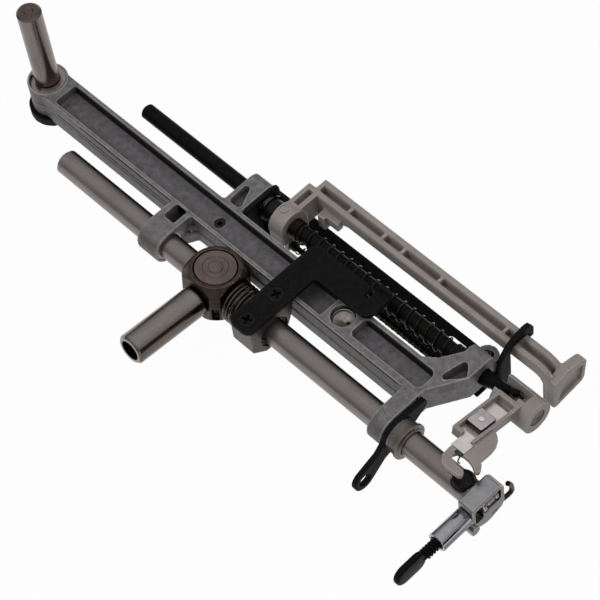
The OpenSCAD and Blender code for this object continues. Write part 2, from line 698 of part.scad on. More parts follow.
// The plate crosses from the bar over the frame, then runs along it to a bent-up ear
module hook_plate() {
    leg_y0 = half_w - 2.8;
    leg_y1 = leg_y0 + hook_w;
    end_x = hook_x + hook_leg_l;
    start_y = bar_y - hook_screws / 2 - 3.6;
    color(black) difference() {
        union() {
            translate([0, 0, hook_z + seat_gap]) linear_extrude(hook_t - seat_gap) {
                round_rect([hook_x, start_y], [hook_x + hook_w, leg_y1], 2.6);
                round_rect([hook_x, leg_y0], [end_x, leg_y1], 2.6);
                translate([end_x - 4, leg_y1 - 4]) square([4, 5.2]);
                translate([hook_x + hook_w - eps, leg_y0 - 1.2]) difference() {
                    square(1.2 + eps);
                    translate([1.2 + eps, 0]) circle(1.2);
                }
            }
            translate([end_x - 4, leg_y1 + 1.2, plate_top - 0.4]) rotate([90, 0, 90]) linear_extrude(4)
                polygon([[-1.2, 0], [0, 0], [0.5, 2.2], [-0.6, 2.2]]);
        }
        translate([0, 0, hook_z - 1]) linear_extrude(hook_t + 2)
            round_rect([end_x - 6, leg_y1 - 3.4], [end_x - 4.4, leg_y1 - 0.6], 0.5);
        for (s = [-1, 1]) translate([hook_cx, bar_y + s * hook_screws / 2, 0]) {
            along_z(hook_z - 1, plate_top + 1, 2.4);
            translate([0, 0, plate_top - 1]) cylinder(h = 1 + eps, d1 = hook_screw_d - 2, d2 = hook_screw_d + eps);
        }
    }
}

module hook_plate_screws() {
    color(black) for (s = [-1, 1]) translate([hook_cx, bar_y + s * hook_screws / 2, 0]) difference() {
        union() {
            along_z(hook_z - 3, plate_top - 0.6, 2);
            translate([0, 0, plate_top - 1]) cylinder(h = 0.95, d1 = hook_screw_d - 2.1, d2 = hook_screw_d - 0.2);
        }
        for (a = [0, 90]) rotate(a) block([-1.1, -0.28, plate_top - 0.9], [1.1, 0.28, plate_top + 1]);
    }
}

// Capped peg on the bar's upper side, next to the clamp
module bar_thread_guide() {
    guide_x = clamp_x - 3.4;
    color(black) difference() {
        union() {
            translate([guide_x, bar_y, bar_d / 2 - 1.6]) chamfered_peg(2.5, 5.8, 0.5);
            along_z(bar_d / 2 - 1.6, bar_d / 2 - 0.3, 6.6, guide_x, bar_y);
        }
        along_x(clamp_x - 8, clamp_x, bar_d + 2 * seat_gap, bar_y);
    }
}

// Needle clamp: a yoke on the bar's end, its sleeve and its thumb screw
module needle_clamp() {
    front = clamp_x + clamp_l;
    half = clamp_w / 2;
    color(chrome) difference() {
        union() {
            translate([clamp_x, bar_y, 0]) rotate([90, 0, 90]) linear_extrude(clamp_l) polygon([
                [-half, clamp_h - 0.6], [-half + 0.6, clamp_h], [half - 1.4, clamp_h], [half, clamp_h - 1.4],
                [half, -clamp_h + 1.2], [half - 0.9, -clamp_h - 0.9], [0.6, -clamp_h - 2.2],
                [-1.2, -clamp_h - 2.2], [-half + 1.4, -clamp_h - 0.8], [-half, -clamp_h + 0.4]]);
            along_x(front - 2, front + 0.8, 3, bar_y - half + 0.2, -clamp_h + 0.3);
        }
        along_x(clamp_x - 1, bar_end + 0.5, bar_d + 2 * seat_gap, bar_y);
        // Windows in the lower face
        translate([front - 2.2, bar_y, 0]) rotate([90, 0, 90]) linear_extrude(3) {
            round_rect([-half + 1.2, -clamp_h + 1.4], [-half + 4, clamp_h - 1.6], 0.5);
            round_rect([-1.4, -1.6], [half - 1.2, clamp_h - 1.4], 0.5);
        }
        translate([front - 2.4, bar_y, 0]) block([0, 1, -clamp_h - 0.9], [3, 3.4, -clamp_h - 0.1]);
        along_y(clamp_y0 - 1, bar_y + 1, thumb_d + 2 * pass_gap, sleeve_x, 0);
        translate(guide_root + [0, -1.25, 0.1]) rotate([-98.8, 0, 0]) cylinder(h = 2, d = guide_wire_d + 0.1);
    }
}

module needle_stop() {
    color(chrome) translate([clamp_x + clamp_l - 1.7, bar_y, 0]) difference() {
        block([0, -1.2, -1.4], [1.5, 2.4, 2.2]);
        along_x(-1, 3, shank_d + 0.8, 0);
    }
}

module clamp_sleeve() {
    color(chrome) difference() {
        along_y(clamp_y0 - sleeve_l, clamp_y0 - seat_gap, sleeve_d, sleeve_x);
        along_y(clamp_y0 - sleeve_l - 1, clamp_y0 + 1, thumb_d + 2 * pass_gap, sleeve_x);
    }
}

module thumb_screw() {
    y_thread = clamp_y0 - sleeve_l - thumb_neck;
    paddle_t = thumb_d * 0.62;
    color(black) {
        along_y(y_thread - 0.5, bar_y - bar_d / 2 - pass_gap, thumb_d, sleeve_x);
        translate([sleeve_x - paddle_t / 2, y_thread, 0]) rotate([90, 0, 90]) linear_extrude(paddle_t)
            round_rect([-paddle_l, -paddle_w / 2], [thumb_d * 0.3, paddle_w / 2], paddle_w * 0.38);
    }
}

// Bent wire beside the clamp that guides the thread, and the room it takes with a gap round it
module thread_guide_hook() {
    color(steel)
        bent_wire([for (p = [[0, -1.2, 0.1], [0, 1.4, -0.3], [0.15, 2.5, -0.1], [0.3, 3.1, 0.7], [0.3, 3.2, 2],
            [0.3, 3, 3.2], [0.25, 2.5, 4.5], [0.2, 1.9, 5.6]]) guide_root + p], guide_wire_d, [1, 0, 0]);
}

// Section of the rail: across it and up from its underside
module rail_section() {
    f = 1.9;
    floor = 1;
    w = rail_w;
    h = rail_h;
    translate([rail_y0, 0]) polygon([[0, 0], [w, 0], [w, h - 0.5], [w - 0.4, h], [w - f + 0.4, h], [w - f, h - 0.5],
        [w - f, floor], [f, floor], [f, h - 0.5], [f - 0.4, h], [0.4, h], [0, h - 0.5]]);
}

// Threader lever: boss on the shaft, arm, double-flanged rail and finger tab
module threader_lever() {
    bend = 3;
    under = rail_top - rail_h;
    tab_t = 2.8;
    tab_x = rail_end + bend + rail_h - tab_t;
    low = under - bend - 6.6;
    half = lever_boss_d / 2;
    web = -half + 0.4;
    color(plastic) difference() {
        union() {
            along_x(lever_x, spring_x0, lever_boss_d, shaft_off);
            block([lever_x, shaft_off - half + 0.3, -half], [spring_x0, shaft_off + half, 0]);
            block([lever_x, shaft_off, web], [spring_x0 - 0.4, rail_y0 + 1.8, rail_top]);
            translate([rail_x0, 0, under]) rotate([90, 0, 90]) linear_extrude(rail_end - rail_x0) rail_section();
            // End wall of the rail, and a web that stiffens its corner with the arm
            block([rail_x0, rail_y0 + 1, under], [rail_x0 + 1.2, rail_y - 1, rail_top]);
            translate([0, rail_y0 + 1.5, 0]) rotate([90, 0, 0]) linear_extrude(1.5)
                polygon([[spring_x0 - 1, web], [spring_x0 - 1, under + 1], [spring_x0 + 11, under + 1],
                    [spring_x0 + 11, under], [spring_x0 + 2, web]]);
            // Cross ribs in the rail's groove
            for (x = rib_x) block([x, rail_y0 + 1, under + 1], [x + 1, rail_y - 1, rail_top - 0.3]);
            // Bend down to the finger tab
            translate([rail_end, 0, under - bend]) rotate([-90, 0, 0]) rotate([0, 0, -90])
                rotate_extrude(angle = 90) translate([bend, 0]) mirror([1, -1]) rail_section();
            block([rail_end + bend, rail_y0, low], [tab_x + 0.2, rail_y, under - bend]);
            translate([tab_x, 0, 0]) rotate([90, 0, 90]) linear_extrude(tab_t) tab_outline(low);
            // Clip under the rail and foot of the small spring
            block([spring_x0 + 1.8, rail_y0 - 2.6, -half - 0.2], [spring_x0 + 4.4, rail_y0 + 0.6, under + 0.4]);
            block([spring_x0 + 4, rail_y0 - 1.5, -half + 1.8], [spring_x0 + 8.4, rail_y0 + 0.6, under + 0.4]);
            block([spring_x0 - foot_t, rod_y - small_d / 2, rod_z - small_d / 2], [spring_x0, shaft_off + 2, 0]);
        }
        along_x(lever_x - 1, spring_x0 + 1, shaft_d + 2 * run_gap, shaft_off);
        along_x(lever_x - 1, spring_x0 + 1, rod_d + 2 * pass_gap, rod_y, rod_z);
        block([lever_x + 1.4, shaft_off + 3.8, rail_top - 2.6], [lever_x + 3.2, rail_y0 + 0.2, rail_top + 1]);
        translate([tab_x + tab_t - 0.9, 0, 0]) rotate([90, 0, 90]) linear_extrude(2)
            polygon([[rail_y0 + 1.4, low + 1.4], [rail_y + 4.2, low + 2.6], [rail_y + 5.1, low + 8.2],
                [rail_y - 1.4, low + 9.9]]);
    }
}

// Finger tab seen along the shaft, from the height low upwards
module tab_outline(low) {
    polygon([[rail_y0 - 0.6, low + 0.9], [rail_y0 + 0.3, low], [rail_y + 4.6, low + 1.2], [rail_y + 5.6, low + 2.3],
        [rail_y + 6.5, low + 9], [rail_y + 5.4, low + 10.6], [rail_y - 0.4, low + 12.3], [rail_y0 + 2, low + 11],
        [rail_y0, low + 11]]);
}

module cam_sleeve() {
    color(black) difference() {
        along_x(slider_x + ring_t, lever_x - seat_gap, shaft_d + 2.2, shaft_off);
        along_x(slider_x, lever_x + 1, shaft_d + 2 * run_gap, shaft_off);
    }
}

module shaft_ring() {
    color(bright) difference() {
        along_x(slider_x, slider_x + ring_t - seat_gap, lug_d - 0.4, shaft_off);
        along_x(slider_x - 1, lever_x, shaft_d + 2 * run_gap, shaft_off);
    }
}

module return_spring() {
    color(dark_steel) translate([spring_x0 + seat_gap, shaft_off, 0])
        coil(low_lug_x - tab_t - spring_x0 - 2 * seat_gap, (return_d - return_wire) / 2, return_wire,
            return_turns, 0.35);
}

module small_spring() {
    color(steel) translate([spring_x0 + seat_gap, rod_y, rod_z])
        coil(low_lug_x - tab_t - spring_x0 - 2 * seat_gap, (small_d - small_wire) / 2, small_wire,
            small_turns);
}

module threader_shaft() {
    color(black) {
        chamfered_bar(shaft_x, finger_x + 1, shaft_d, 0.5, shaft_off);
        along_x(finger_x, head_x + 4.8, tenon_d, shaft_off);
        hull() {
            along_x(finger_x, finger_x + 0.4, shaft_d, shaft_off);
            translate(finger_end - [0.6, 0, 0]) rotate([0, 90, 0]) cylinder(h = 0.6, d = ball_d - 0.5);
        }
        translate(finger_end) sphere(d = ball_d);
        along_x(finger_end[0], finger_end[0] + tip_l, tip_d, finger_end[1], finger_end[2]);
    }
}

// Outline of the head's flange and two prongs past the tray, from the head's upper end and the shaft axis
module prong_outline() {
    polygon([[5.2, -19.5], [5.4, -25.5], [5.8, -28.2], [7, -29.7], [9.4, -30.4], [13.1, -30.2], [13.75, -29.5],
        [13.4, -28.6], [12.7, -28], [10, -27.8], [8.6, -27.6], [7.9, -27], [7.7, -26.2], [8.2, -25.1],
        [9.8, -24.6], [11.8, -24.7], [13, -25.1], [14.7, -26.1], [15.4, -26.2], [15.85, -25.6], [15.6, -24.7],
        [14.8, -23.6], [13.7, -22.6], [13.5, -18.4], [13, -16.3], [12.1, -14.7], [10.6, -13.5], [8.6, -13.2],
        [8.6, -19.5]]);
}

// Threader head: sleeve on the shaft's end, open tray and two guide prongs
module threader_head() {
    x1 = head_x + head_l;
    cut_x = head_x + 0.56 * head_l;
    color(plastic) head_frame() difference() {
        union() {
            along_x(head_x, x1, head_d);
            block([tray_x0, -tray_l, tray_z], [tray_x1, -1, tray_top]);
            translate([head_x, 0, tray_floor]) linear_extrude(prong_t) prong_outline();
        }
        along_x(head_x - 1, head_x + 5, tenon_d + 2 * seat_gap);
        along_x(x1 - 0.8, x1 + 1, 5.2);
        // Opening over the shaft's end, the inside of the tray, and a slot in its floor
        block([head_x - 1, -tray_back, 1.6], [cut_x, 2, head_d]);
        block([head_x - 1, -1.8, 0], [head_x + 3.8, 2, head_d]);
        block([head_x - 1, -1.8, 1], [cut_x, 2, head_d]);
        block([tray_x0 + 1, -tray_l + 1.2, tray_floor], [tray_x1 - 1, -tray_back - 1.4, tray_top + 1]);
        block([tray_x0 + 1.2, -tray_back - 2.7, tray_floor - 0.6], [tray_x1 - 1.6, -tray_back - 1.7, tray_top]);
        // Seat of the hook's strip, through the tray's end wall, and of the hook itself
        translate([strip_x, -tray_l, strip_z - seat_gap]) {
            block([-0.1, -strip_l - 0.2, 0], [3.2, 2, tray_top]);
            block([-0.1, -strip_l - 0.2, 0], [strip_w + 0.1, 0, tray_top]);
            block([2.2, -strip_l - 1.4, 0], [strip_w + 0.2, 0, tray_top]);
        }
    }
}

// Sheet that carries the hook: it lies in the tray, and a raised strip runs out over the prongs
module head_plate() {
    y0 = -tray_l + 1.6;
    z0 = tray_floor + seat_gap;
    color(bright) head_frame() {
        block([tray_x0 + 1.1, y0, z0], [tray_x1 - 1.1, -tray_back - 3, z0 + sheet_t]);
        block([strip_x, y0, z0], [strip_x + 3, y0 + 0.4, strip_z + sheet_t]);
        block([strip_x, -tray_l - strip_l, strip_z], [strip_x + 3, y0 + 0.4, strip_z + sheet_t]);
        block([strip_x, -tray_l - strip_l, strip_z], [strip_x + strip_w, -tray_l - 0.1, strip_z + sheet_t]);
    }
}

module hook_block() {
    z0 = tray_floor + sheet_t + 2 * seat_gap;
    color(chrome) head_frame() translate([tray_x0 + (tray_w - rivet_w) / 2, -tray_l + 4, 0])
        block([0, 0, z0], [rivet_w, rivet_l, rivet_top]);
}

module hook_rivet() {
    color(chrome) head_frame()
        translate([tray_x0 + tray_w / 2, -tray_l + 4 + rivet_l / 2, rivet_top + seat_gap])
            cylinder(h = 0.5, d1 = 2, d2 = 1.4);
}

// Thread hook: its flat root, and the bent wire in the gap between the prongs
module thread_hook() {
    wire = 0.4;
    root = [strip_x + 2.3, -tray_l - strip_l - 1.3, strip_z];
    color(steel) head_frame() {
        block(root, root + [2, 1.2, sheet_t]);
        bent_wire([for (p = [[1.7, 0.5, 0.2], [2.2, -0.8, 0.2], [2.45, -1.3, 0.2], [2.8, -1.5, 0.2],
            [3.3, -1.4, 0.2]]) root + p], wire, [0, 0, 1]);
    }
}

needle_bar_frame();
pivot_pin();
pivot_clip();
pivot_bush();
pivot_washer();
upper_bar_bush();
lower_bar_bush();
zigzag_lever();
frame_stud();
channel_screw();
threader_bracket();
spring_rod();
needle_bar();
stud_block();
stud_plug();
stud_pin();
stud_set_screw();
bar_spring();
plate_clamp();
hook_plate();
hook_plate_screws();
bar_thread_guide();
needle_clamp();
needle_stop();
clamp_sleeve();
thread_guide_hook();
thumb_screw();
threader_lever();
cam_sleeve();
shaft_ring();
return_spring();
small_spring();
threader_shaft();
threader_head();
head_plate();
hook_block();
hook_rivet();
thread_hook();
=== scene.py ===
"""Looks of a sewing machine's needle-bar unit with its threader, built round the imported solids.

Pieces are modelled in millimetres, in the frame of the solids, and brought to metres when done.
"""

import math

import bpy
from mathutils import Matrix, Vector


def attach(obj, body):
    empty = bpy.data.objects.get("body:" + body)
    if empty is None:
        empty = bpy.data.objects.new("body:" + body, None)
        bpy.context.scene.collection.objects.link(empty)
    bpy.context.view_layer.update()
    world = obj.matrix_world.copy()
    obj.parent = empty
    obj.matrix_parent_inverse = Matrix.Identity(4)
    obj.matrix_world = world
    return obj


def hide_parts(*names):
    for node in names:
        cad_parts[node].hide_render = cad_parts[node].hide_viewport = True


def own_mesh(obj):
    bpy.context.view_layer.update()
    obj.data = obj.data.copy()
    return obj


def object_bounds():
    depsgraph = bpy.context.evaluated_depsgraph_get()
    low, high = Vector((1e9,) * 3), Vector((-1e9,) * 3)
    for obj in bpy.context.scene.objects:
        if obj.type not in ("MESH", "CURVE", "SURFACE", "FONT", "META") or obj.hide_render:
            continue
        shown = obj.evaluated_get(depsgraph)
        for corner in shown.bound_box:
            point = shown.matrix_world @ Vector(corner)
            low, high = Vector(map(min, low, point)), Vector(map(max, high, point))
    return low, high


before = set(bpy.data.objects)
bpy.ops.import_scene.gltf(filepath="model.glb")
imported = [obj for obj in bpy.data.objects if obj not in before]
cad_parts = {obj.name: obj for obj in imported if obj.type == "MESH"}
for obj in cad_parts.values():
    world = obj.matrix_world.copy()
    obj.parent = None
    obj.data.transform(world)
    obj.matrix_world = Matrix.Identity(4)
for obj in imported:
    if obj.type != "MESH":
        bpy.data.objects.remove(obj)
cad_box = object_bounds()

# Places that several pieces share, in millimetres, and turns in degrees
BAR_Y = -13.3
SHAFT_Y = 13.4
HEAD_X, HEAD_TILT = 159.2, 12
STUD_X, STUD_TURN = 82, 6
SLEEVE_X = 177.5
FRAME_STUD_X = 116.5
PLATE_SCREWS = [(100.3, BAR_Y - 5.2), (100.3, BAR_Y + 5.2)]
# The threader's two springs lie between its lever and the frame's lower lug
SPRING_START, SPRING_END, SPRING_PLAY = 84.0, 145.8, 0.02


# ---------------------------------------------------------------- materials

WHITE = [1.0, 1.0, 1.0, 1.0]
BLACK = [0.0, 0.0, 0.0, 1.0]
# Share of the grain in the colour, and the noise values at its darkest and lightest
GRAIN_SHARE = 0.35
DARKEST, LIGHTEST = 0.36, 0.64
# Noise values of the grain at both ends of the roughness
SMOOTHEST, ROUGHEST = 0.3, 0.7
# Pointiness of corners full of grime and painted shade and of clean unshaded ones, then of plain
# faces and of rubbed edges with a painted highlight
GRIMY_SHADED, CLEAN_UNSHADED = 0.40, 0.49
PLAIN, RUBBED_HIGHLIT = 0.51, 0.59


def colour(hex_value):
    """An sRGB hex colour as linear RGBA."""
    parts = [int(hex_value[i:i + 2], 16) / 255 for i in (1, 3, 5)]
    return [p / 12.92 if p <= 0.04045 else ((p + 0.055) / 1.055) ** 2.4 for p in parts] + [1.0]


def per_mm(size):
    """Texture scale, in metres, of a pattern whose features are size millimetres across."""
    return 1000.0 / size


def add(tree, kind, inputs=None, ramp=None, **settings):
    """Adds one node with its settings; an input given as a socket is linked, any other is set."""
    node = tree.nodes.new("ShaderNode" + kind)
    for key, value in settings.items():
        setattr(node, key, value)
    if ramp:
        stops = node.color_ramp.elements
        stops[0].position, stops[0].color = ramp[0]
        stops[-1].position, stops[-1].color = ramp[-1]
        for place, tone in ramp[1:-1]:
            stops.new(place).color = tone
    for key, value in (inputs or {}).items():
        if isinstance(value, bpy.types.NodeSocket):
            tree.links.new(value, node.inputs[key])
        else:
            node.inputs[key].default_value = value
    return node


def surface(name, dark, light, patch, grain, rough, relief, stretch=(1, 1, 1), wear_and_highlight=None,
            grime_and_shade=None, **shader):
    """A procedural surface: colour drifts from dark to light, a grain sets roughness and relief.

    patch, grain and relief are millimetres; stretch draws the grain out along an axis where it is
    small. The edge colour is that of rubbed convex edges and also a painted highlight on them; the
    corner colour is that of grime and also painted shade in them.
    """
    material = bpy.data.materials.new(name)
    material.use_nodes = True
    tree = material.node_tree
    tree.nodes.clear()
    place = add(tree, "TexCoord").outputs["Object"]
    patches = add(tree, "TexNoise", {"Vector": place, "Scale": per_mm(patch), "Detail": 5.0,
                                     "Roughness": 0.6})
    drawn = add(tree, "Mapping", {"Vector": place, "Scale": stretch})
    grains = add(tree, "TexNoise", {"Vector": drawn.outputs[0], "Scale": per_mm(grain),
                                    "Detail": 3.0})
    both = add(tree, "Mix", {0: GRAIN_SHARE, 2: patches.outputs[0], 3: grains.outputs[0]})
    tone = add(tree, "ValToRGB", {"Fac": both.outputs[0]},
               ramp=[(DARKEST, colour(dark)), (LIGHTEST, colour(light))]).outputs[0]
    if wear_and_highlight or grime_and_shade:
        bend = add(tree, "NewGeometry").outputs["Pointiness"]
    # Concave corners take the corner colour: grime and painted shade together
    if grime_and_shade:
        corner = add(tree, "ValToRGB", {"Fac": bend}, ramp=[(GRIMY_SHADED, WHITE), (CLEAN_UNSHADED, BLACK)])
        tone = add(tree, "Mix", {0: corner.outputs[0], 6: tone, 7: colour(grime_and_shade)},
                   data_type="RGBA").outputs[2]
    # Convex edges take the edge colour: rubbed wear and a painted highlight together
    if wear_and_highlight:
        edge = add(tree, "ValToRGB", {"Fac": bend}, ramp=[(PLAIN, BLACK), (RUBBED_HIGHLIT, WHITE)])
        tone = add(tree, "Mix", {0: edge.outputs[0], 6: tone, 7: colour(wear_and_highlight)},
                   data_type="RGBA").outputs[2]
    spread = add(tree, "MapRange", {"Value": grains.outputs[0], 1: SMOOTHEST, 2: ROUGHEST,
                                    3: rough[0], 4: rough[1]})
    bump = add(tree, "Bump", {"Height": grains.outputs[0], "Strength": 1.0,
                              "Distance": relief / 1000})
    principled = add(tree, "BsdfPrincipled", {"Base Color": tone, "Roughness": spread.outputs[0],
                                              "Normal": bump.outputs[0], **shader})
    add(tree, "OutputMaterial", {"Surface": principled.outputs[0]})
    return material


def tinted(material, tone, *bands):
    """Darkens a surface by a tone where every band holds.

    A band is an output of the texture coordinates, an axis, and the values where the tone begins
    and where it is full. Places are metres.
    """
    tree = material.node_tree
    place = add(tree, "TexCoord")
    mask = None
    for output, axis, begin, full in bands:
        value = add(tree, "SeparateXYZ", {0: place.outputs[output]}).outputs[axis]
        band = add(tree, "MapRange", {"Value": value, 1: begin, 2: full}).outputs[0]
        if mask is not None:
            band = add(tree, "Math", {0: mask, 1: band}, operation="MULTIPLY").outputs[0]
        mask = band
    base = next(node for node in tree.nodes if node.type == "BSDF_PRINCIPLED").inputs["Base Color"]
    mixed = add(tree, "Mix", {0: mask, 6: base.links[0].from_socket, 7: colour(tone)},
                data_type="RGBA", blend_type="MULTIPLY")
    tree.links.new(mixed.outputs[2], base)


# Die-cast aluminium, tumbled: matte grey, mottled, with brighter rubbed edges that carry a painted
# highlight, and grime with painted shade in its corners
CAST = surface("cast_aluminium", "#5a5858", "#807d7c", 1.7, 0.35, (0.42, 0.6), 0.018,
               wear_and_highlight="#b0adad", grime_and_shade="#242325", Metallic=0.4)
# The channel's floor is darker: partly its as-cast tone, partly painted shade in the recess
tinted(CAST, "#e0dee6", ("Normal", 2, 0.6, 0.9), ("Object", 2, 0.0036, 0.0026))
# Painted shade: the channel's wall on the threader side, deep in the recess, is darkened
tinted(CAST, "#4a484a", ("Normal", 1, -0.35, -0.75), ("Object", 1, 0.0008, 0.0016),
       ("Object", 1, 0.0049, 0.0044), ("Object", 2, 0.0012, 0.002), ("Object", 2, 0.0052, 0.0044))
# Painted shade: the faces turned towards the bar are a little darker
tinted(CAST, "#dcdad8", ("Normal", 1, -0.5, -0.8))
# Painted shade in the lines along the arm's side, and in the one round its boss
tinted(CAST, "#202020", ("Object", 1, -0.00499, -0.00494), ("Object", 1, -0.0044, -0.0045),
       ("Object", 2, 0.0013, 0.0014), ("Object", 2, 0.0052, 0.0051), ("Object", 0, 0.0085, 0.0095))
tinted(CAST, "#2a2a2a", ("Object", 2, 0.00069, 0.00073), ("Object", 2, 0.00116, 0.00112),
       ("Object", 0, 0.0041, 0.0039))
# Ground and polished steel: faint streaks along the bar, a warm grey sheen
STEEL_X = surface("ground_steel_along_x", "#7c7574", "#8a8281", 12.0, 0.8, (0.3, 0.36), 0.00005,
                  stretch=(0.06, 1.5, 1.5), Metallic=0.9)
# Painted shade and reflection of the frame: a dark band on the bar's side that runs along it
tinted(STEEL_X, "#2c2725", ("Normal", 1, 0.56, 0.66), ("Normal", 2, -0.2, 0.1))
# The same steel, more polished, with streaks along the crank stud
STEEL_Y = surface("ground_steel_along_y", "#7d7774", "#8d8682", 12.0, 0.8, (0.16, 0.2), 0.00005,
                  stretch=(1.5, 0.06, 1.5), Metallic=1.0)
# Painted shade darkens the stud's lower side
tinted(STEEL_Y, "#bdb6ad", ("Normal", 2, 0.56, 0.44), ("Normal", 0, 0.3, 0.5))
# The same steel with streaks up the pivot pin
STEEL_Z = surface("ground_steel_along_z", "#6b6461", "#7c7471", 12.0, 0.8, (0.24, 0.28), 0.00005,
                  stretch=(1.5, 1.5, 0.06), Metallic=1.0)
# The pin's end is browner
tinted(STEEL_Z, "#d6c9c2", ("Normal", 2, 0.6, 0.9))
# Oiled mild steel with a brown bloom
DARK_STEEL = surface("oiled_brown_steel", "#3b342e", "#564c44", 1.8, 0.3, (0.3, 0.42), 0.004,
                     wear_and_highlight="#7c716b", grime_and_shade="#171211", Metallic=1.0)
# Painted shade: its sides are darker than its top
tinted(DARK_STEEL, "#a9a49f", ("Normal", 2, 0.7, 0.4))
# The same steel, freshly faced on a lathe
FACED_STEEL = surface("lathe_faced_steel", "#665956", "#7e706b", 3.0, 0.3, (0.3, 0.4), 0.002,
                      Metallic=1.0)
# A brighter turned dish
BRIGHT_STEEL = surface("bright_turned_steel", "#8a827c", "#b8b1a9", 1.2, 0.3, (0.28, 0.4), 0.006,
                       Metallic=0.9)
# Plain steel clamp, machined and tumbled, with painted shade darkening its sides
CLAMP_STEEL = surface("machined_steel", "#464240", "#5c5754", 2.0, 0.3, (0.3, 0.4), 0.003,
                      wear_and_highlight="#8a827e", grime_and_shade="#2c2826", Metallic=0.9)
tinted(CLAMP_STEEL, "#c4c0bb", ("Normal", 2, 0.7, 0.4))
# Black-oxide steel sheet: near black, satin, with a fine pressed texture
BLACK_SHEET = surface("black_oxide_sheet", "#101011", "#191919", 1.2, 0.28, (0.42, 0.56), 0.006,
                      wear_and_highlight="#242323", IOR=1.12)
# Black-oxide turned steel: smoother than the sheet
BLACK_ROD = surface("black_oxide_rod", "#0c0c0d", "#151515", 2.5, 0.5, (0.3, 0.42), 0.001,
                    stretch=(1.0, 0.3, 0.3), IOR=1.12)
# The same on screw heads, with a painted highlight on their edges
SCREW_BLACK = surface("black_oxide_screws", "#101011", "#1a1a1a", 2.0, 0.4, (0.34, 0.46), 0.002,
                      wear_and_highlight="#2c2b2b", IOR=1.15)
# Felt pad soaked with oil: black, next to no gloss
FELT = surface("black_felt", "#040404", "#0a0a0a", 1.0, 0.25, (0.6, 0.75), 0.02,
               **{"Specular IOR Level": 0.15})
# Sintered bronze: dull warm grey with oil-filled pores
BRONZE = surface("sintered_bronze", "#5d5753", "#7a736e", 1.0, 0.25, (0.38, 0.5), 0.006,
                 wear_and_highlight="#988f88", grime_and_shade="#26221f", Metallic=0.9)
# Turned bush of the pivot: paler and pinker
PALE_BRONZE = surface("turned_bronze", "#8b7e79", "#a3968f", 1.4, 0.3, (0.3, 0.42), 0.003,
                      wear_and_highlight="#c2b3ac", grime_and_shade="#2f2725", Metallic=0.8)
# Moulded ABS, warm grey, with the fine matt of a spark-eroded mould
PLASTIC = surface("moulded_abs_grey", "#827a76", "#928a86", 5.0, 0.3, (0.42, 0.52), 0.006,
                  wear_and_highlight="#bab3af", grime_and_shade="#453f3d", IOR=1.53)
# Moulded black acetal
BLACK_PLASTIC = surface("moulded_acetal_black", "#060607", "#0d0d0e", 3.0, 0.3, (0.32, 0.44), 0.004,
                        **{"Specular IOR Level": 0.2})
# Rolled stainless sheet, bright
SHEET = surface("rolled_stainless", "#dacfce", "#ece4e2", 3.0, 0.3, (0.3, 0.4), 0.001,
                stretch=(1.0, 0.2, 0.2), Metallic=0.7)
# Nickel-chrome plate, polished: hard reflections
CHROME = surface("chrome_plate", "#9e9ea2", "#aeaeb2", 4.0, 0.8, (0.05, 0.09), 0.0003, Metallic=1.0)
# Painted shade: its lower side is darker
tinted(CHROME, "#a2a3aa", ("Normal", 2, 0.5, 0.36), ("Normal", 0, 0.3, 0.5))
# The same plate over a tumbled casting: satin
SATIN_CHROME = surface("satin_chrome", "#8b8a8d", "#a09fa2", 3.0, 0.4, (0.26, 0.34), 0.002,
                       wear_and_highlight="#c0c0c3", grime_and_shade="#2b2b2d", Metallic=1.0)
# The clamp's front was filed flat; painted shade darkens it
tinted(SATIN_CHROME, "#b3aaa3", ("Normal", 0, 0.6, 0.9))
# Darkened chrome ring
DARK_CHROME = surface("dark_chrome_wire", "#3e3c3b", "#5a5856", 2.0, 0.4, (0.16, 0.24), 0.001,
                      Metallic=1.0)
# Pressed steel of the rivet block, with painted shade darkening its sides
PRESSED = surface("pressed_steel", "#b4aeb1", "#cdc7ca", 2.0, 0.3, (0.34, 0.44), 0.002, Metallic=0.7)
tinted(PRESSED, "#4a3f3b", ("Normal", 2, 0.85, 0.6))
# Oil-tempered spring wire, brown black
WIRE = surface("oil_tempered_wire", "#241f1a", "#3d362f", 1.0, 0.25, (0.28, 0.42), 0.002,
               Metallic=1.0)
# Hard-drawn wire, greyer
DRAWN_WIRE = surface("hard_drawn_wire", "#3c3835", "#5d5955", 1.0, 0.25, (0.2, 0.3), 0.001,
                     Metallic=1.0)


# ---------------------------------------------------------------- modelling

def only(obj):
    """Selects one object alone and makes it active."""
    bpy.ops.object.select_all(action="DESELECT")
    obj.select_set(True)
    bpy.context.view_layer.objects.active = obj
    return obj


def apply(obj, kind, **settings):
    """Adds a modifier and applies it."""
    only(obj)
    modifier = obj.modifiers.new(kind, kind)
    for key, value in settings.items():
        setattr(modifier, key, value)
    bpy.ops.object.modifier_apply(modifier=modifier.name)
    return obj


def mended(obj):
    """Merges doubles and turns all faces outwards."""
    only(obj)
    bpy.ops.object.mode_set(mode="EDIT")
    bpy.ops.mesh.select_all(action="SELECT")
    bpy.ops.mesh.remove_doubles(threshold=0.002)
    bpy.ops.mesh.normals_make_consistent(inside=False)
    bpy.ops.object.mode_set(mode="OBJECT")
    return obj


def turned(stations, sides=48):
    """A solid turned about Z: a disc drawn through (height, radius) stations."""
    bpy.ops.object.select_all(action="DESELECT")
    height, radius = stations[0]
    bpy.ops.mesh.primitive_circle_add(vertices=sides, radius=radius, fill_type="NGON",
                                      enter_editmode=True)
    bpy.ops.transform.translate(value=(0, 0, height))
    for (z0, r0), (z1, r1) in zip(stations, stations[1:]):
        bpy.ops.mesh.extrude_region_move(TRANSFORM_OT_translate={"value": (0, 0, z1 - z0)})
        bpy.ops.transform.resize(value=(r1 / r0, r1 / r0, 1), center_override=(0, 0, z1))
    bpy.ops.object.mode_set(mode="OBJECT")
    return mended(bpy.context.object)


